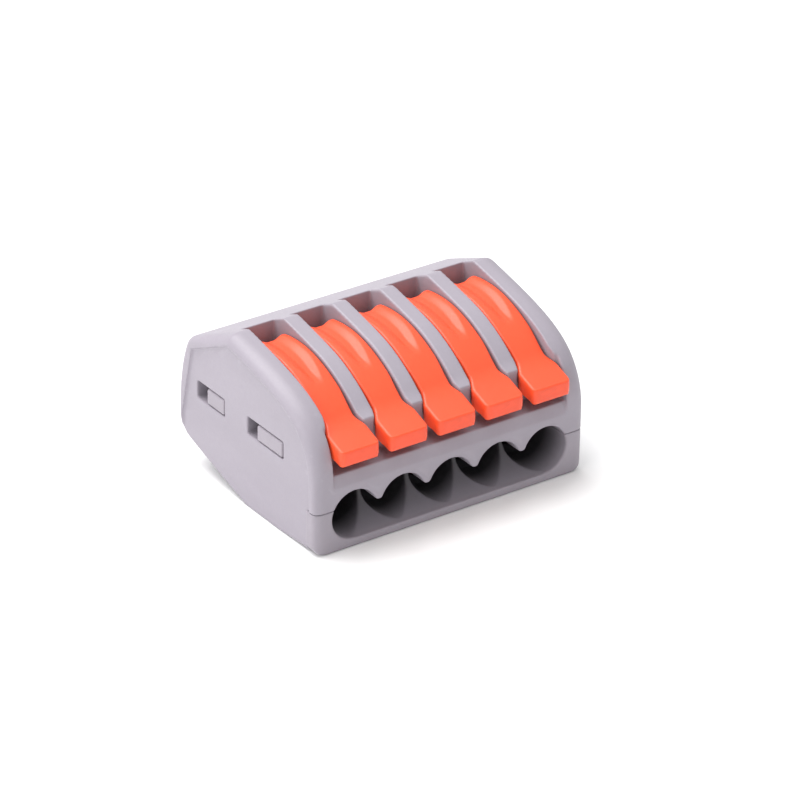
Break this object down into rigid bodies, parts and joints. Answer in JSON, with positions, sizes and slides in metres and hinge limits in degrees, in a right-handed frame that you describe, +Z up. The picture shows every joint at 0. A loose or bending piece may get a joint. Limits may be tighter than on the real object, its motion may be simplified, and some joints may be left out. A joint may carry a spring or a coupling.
{
  "type": "lever wire connector",
  "caption": "Splicing connector in a grey snap-together housing, with a row of flip-up levers over front wire entries that open spring clamps on a shared busbar.",
  "frame": {"origin": "middle of the underside: the centre of the bounding box in X and Y, at the lowest face", "axes": "+X across the row of poles, +Y from the wire entries to the back, +Z up; the wire entries face -Y"},
  "size_m": [0.0266, 0.021, 0.0145],
  "materials": {
    "housing_plastic": "satin moulded nylon, pale lilac grey",
    "base_plastic": "satin moulded nylon, pale lilac grey",
    "lever_plastic": "satin moulded plastic, orange",
    "spring_steel": "rolled strip",
    "tinned_copper": "tin-plated copper"
  },
  "bodies": {
    "root": {"housing": "housing_plastic", "base": "base_plastic", "busbar": "tinned_copper", "clamp_spring_1": "spring_steel", "clamp_spring_2": "spring_steel", "clamp_spring_3": "spring_steel", "clamp_spring_4": "spring_steel", "clamp_spring_5": "spring_steel"},
    "lever_1": {"lever_1": "lever_plastic"},
    "lever_2": {"lever_2": "lever_plastic"},
    "lever_3": {"lever_3": "lever_plastic"},
    "lever_4": {"lever_4": "lever_plastic"},
    "lever_5": {"lever_5": "lever_plastic"},
    "cage_1": {"spring_cage_1": "spring_steel"},
    "cage_2": {"spring_cage_2": "spring_steel"},
    "cage_3": {"spring_cage_3": "spring_steel"},
    "cage_4": {"spring_cage_4": "spring_steel"},
    "cage_5": {"spring_cage_5": "spring_steel"}
  },
  "joints": [
    {"name": "lever_1_tilt", "type": "hinge", "parent": "root", "child": "lever_1", "pos_m": [-0.00944, 0.0009, 0.0112], "axis": [-1, 0, 0], "range_deg": [0, 90]},
    {"name": "lever_2_tilt", "type": "hinge", "parent": "root", "child": "lever_2", "pos_m": [-0.00472, 0.0009, 0.0112], "axis": [-1, 0, 0], "range_deg": [0, 90]},
    {"name": "lever_3_tilt", "type": "hinge", "parent": "root", "child": "lever_3", "pos_m": [0, 0.0009, 0.0112], "axis": [-1, 0, 0], "range_deg": [0, 90]},
    {"name": "lever_4_tilt", "type": "hinge", "parent": "root", "child": "lever_4", "pos_m": [0.00472, 0.0009, 0.0112], "axis": [-1, 0, 0], "range_deg": [0, 90]},
    {"name": "lever_5_tilt", "type": "hinge", "parent": "root", "child": "lever_5", "pos_m": [0.00944, 0.0009, 0.0112], "axis": [-1, 0, 0], "range_deg": [0, 90]},
    {"name": "cage_1_flex", "type": "hinge", "parent": "root", "child": "cage_1", "pos_m": [-0.00944, 0.00675, 0.00785], "axis": [1, 0, 0], "range_deg": [0, 12.5]},
    {"name": "cage_2_flex", "type": "hinge", "parent": "root", "child": "cage_2", "pos_m": [-0.00472, 0.00675, 0.00785], "axis": [1, 0, 0], "range_deg": [0, 12.5]},
    {"name": "cage_3_flex", "type": "hinge", "parent": "root", "child": "cage_3", "pos_m": [0, 0.00675, 0.00785], "axis": [1, 0, 0], "range_deg": [0, 12.5]},
    {"name": "cage_4_flex", "type": "hinge", "parent": "root", "child": "cage_4", "pos_m": [0.00472, 0.00675, 0.00785], "axis": [1, 0, 0], "range_deg": [0, 12.5]},
    {"name": "cage_5_flex", "type": "hinge", "parent": "root", "child": "cage_5", "pos_m": [0.00944, 0.00675, 0.00785], "axis": [1, 0, 0], "range_deg": [0, 12.5]}
  ],
  "couplings": [
    {"joint": "cage_1_flex", "follows": "lever_1_tilt", "ratio": 0.13888},
    {"joint": "cage_2_flex", "follows": "lever_2_tilt", "ratio": 0.13888},
    {"joint": "cage_3_flex", "follows": "lever_3_tilt", "ratio": 0.13888},
    {"joint": "cage_4_flex", "follows": "lever_4_tilt", "ratio": 0.13888},
    {"joint": "cage_5_flex", "follows": "lever_5_tilt", "ratio": 0.13888}
  ]
}
